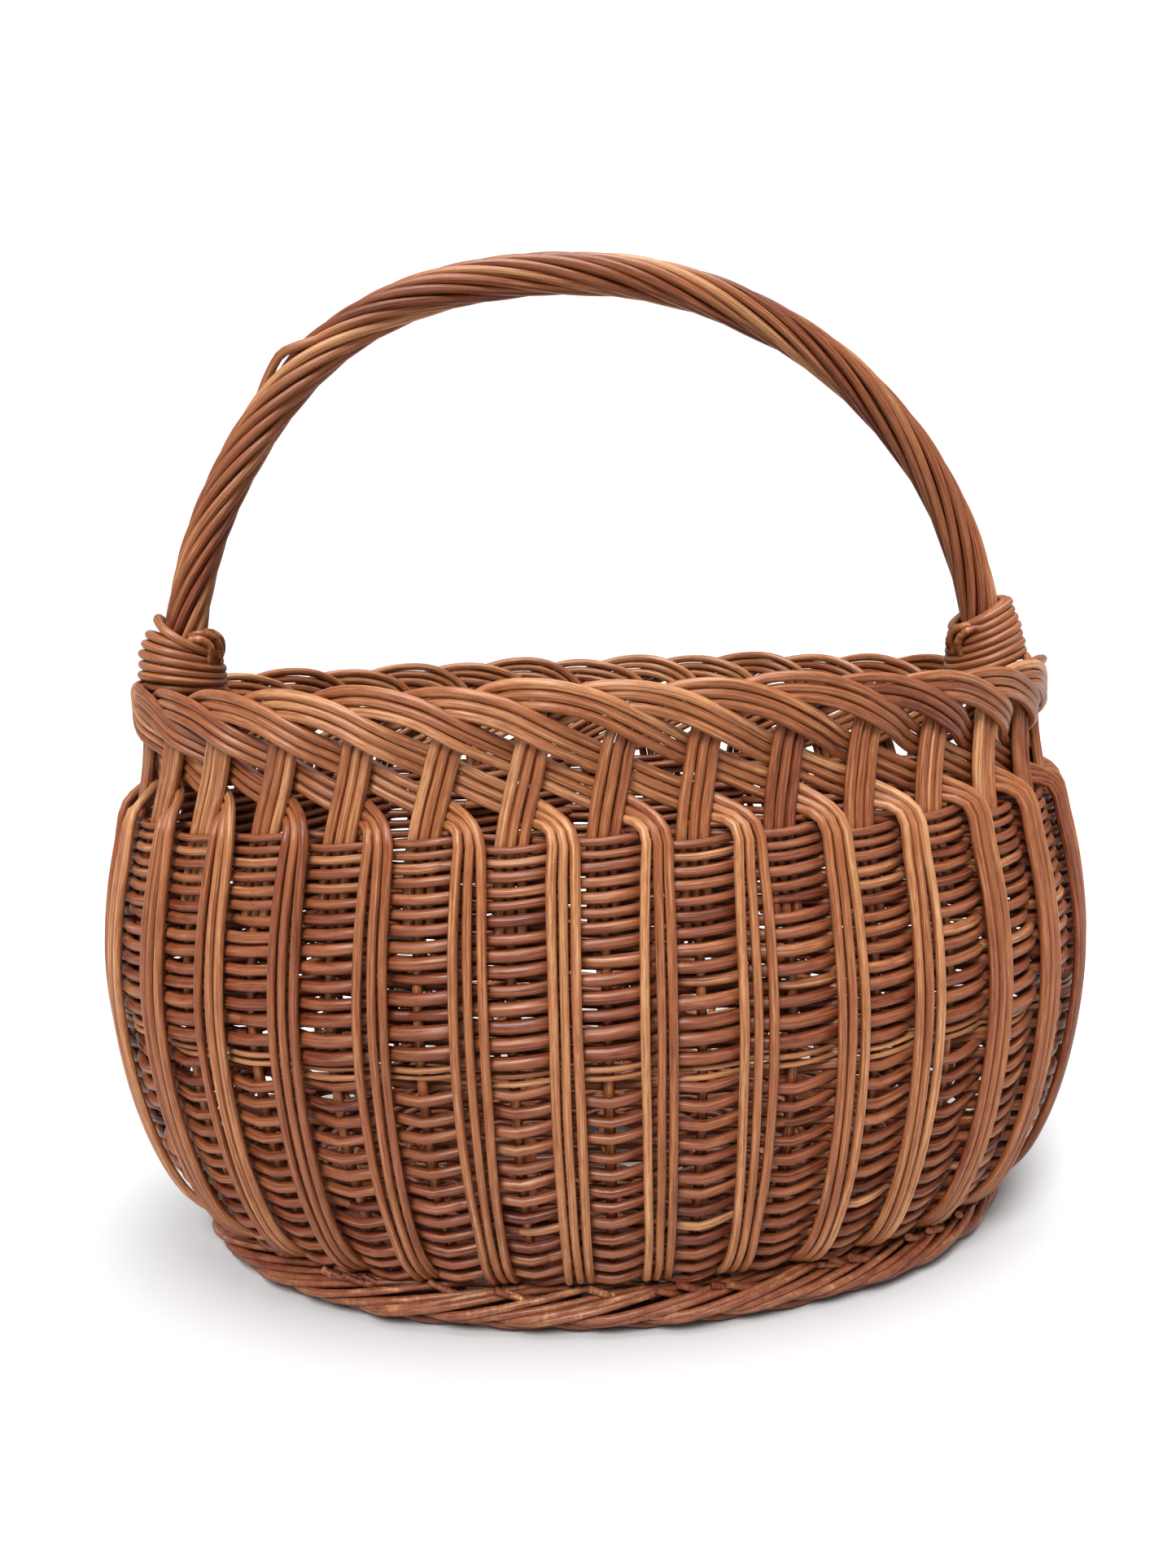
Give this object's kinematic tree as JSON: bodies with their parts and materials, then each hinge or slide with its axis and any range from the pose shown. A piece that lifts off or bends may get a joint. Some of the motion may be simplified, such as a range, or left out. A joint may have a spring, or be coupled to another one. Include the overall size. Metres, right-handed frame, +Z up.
{
  "type": "oval wicker basket with handle",
  "caption": "Oval woven willow basket with a bellied side, open scalloped border, outer ribs, roped foot and a fixed roped bow handle.",
  "frame": {"origin": "on the floor under the middle of the foot", "axes": "+X along the basket's length and the handle, +Y to the back, +Z up"},
  "size_m": [0.4378, 0.2752, 0.4232],
  "materials": {
    "border_rods": "satin buff willow rods",
    "weavers": "satin woven willow",
    "thin_weavers": "thin pale willow",
    "foot_rods": "satin dark willow",
    "stakes": "matte willow",
    "handle_rods": "satin willow, worn smooth",
    "binding_rods": "satin willow"
  },
  "bodies": {
    "root": {"base_long_sticks": "stakes", "base_cross_sticks": "stakes", "base_weave": "weavers", "foot_border": "foot_rods", "side_weave_lower": "weavers", "side_change_band": "thin_weavers", "side_weave_upper": "weavers", "handle_bow": "stakes", "handle_binding_left": "binding_rods", "handle_binding_right": "binding_rods", "strand_01": "border_rods", "strand_02": "border_rods", "strand_03": "border_rods", "strand_04": "border_rods", "strand_05": "border_rods", "strand_06": "border_rods", "strand_07": "border_rods", "strand_08": "border_rods", "strand_09": "border_rods", "strand_10": "border_rods", "strand_11": "border_rods", "strand_12": "border_rods", "strand_13": "border_rods", "strand_14": "border_rods", "strand_15": "border_rods", "strand_16": "border_rods", "strand_17": "border_rods", "strand_18": "border_rods", "strand_19": "border_rods", "strand_20": "border_rods", "strand_21": "border_rods", "strand_22": "border_rods", "strand_23": "border_rods", "strand_24": "border_rods", "strand_25": "border_rods", "strand_26": "border_rods", "strand_27": "border_rods", "strand_28": "border_rods", "strand_29": "border_rods", "strand_30": "border_rods", "strand_31": "border_rods", "strand_32": "border_rods", "handle_rod_01": "handle_rods", "handle_rod_02": "handle_rods", "handle_rod_03": "handle_rods", "handle_rod_04": "handle_rods", "handle_rod_05": "handle_rods", "handle_rod_06": "handle_rods", "handle_rod_07": "handle_rods", "handle_rod_08": "handle_rods", "handle_rod_09": "handle_rods", "handle_rod_10": "handle_rods"}
  },
  "joints": []
}
